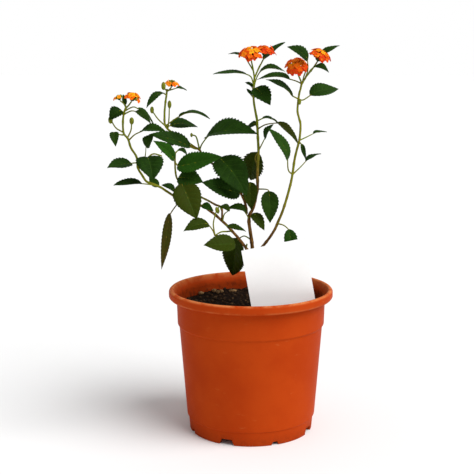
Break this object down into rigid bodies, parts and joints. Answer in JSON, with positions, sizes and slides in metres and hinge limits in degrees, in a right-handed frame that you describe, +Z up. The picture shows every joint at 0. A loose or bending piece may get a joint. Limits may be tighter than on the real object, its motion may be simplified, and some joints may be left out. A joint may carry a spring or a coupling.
{
  "type": "potted lantana plant",
  "caption": "Lantana plant with toothed leaves and orange flower heads, in soil in a round terracotta-coloured plastic pot with a blank card label.",
  "frame": {"origin": "centre of the flat pad on the pot's underside, in the plane that the pot stands on", "axes": "+Z up along the pot's axis, -Y towards the front, where the label stands, +X to the right seen from the front"},
  "size_m": [0.2291, 0.17, 0.4006],
  "materials": {
    "pot_plastic": "satin moulded plastic, terracotta colour",
    "soil": "crumbly dark potting soil",
    "label_card": "plain white card",
    "foliage": "semi-gloss quilted leaves on brown and green stems",
    "petals": "soft orange, yellow and red petals"
  },
  "bodies": {
    "root": {"pot": "pot_plastic", "potting_soil": "soil", "plant_label": "label_card", "leafy_stem_centre": "foliage", "leafy_stem_inner": "foliage", "leafy_stem_left": "foliage", "leafy_stem_right": "foliage", "flower_head_centre_front": "petals", "flower_head_centre_back": "petals", "flower_head_right_front": "petals", "flower_head_right_side": "petals", "flower_head_left_small": "petals", "flower_head_left": "petals", "flower_head_inner": "petals"}
  },
  "joints": []
}
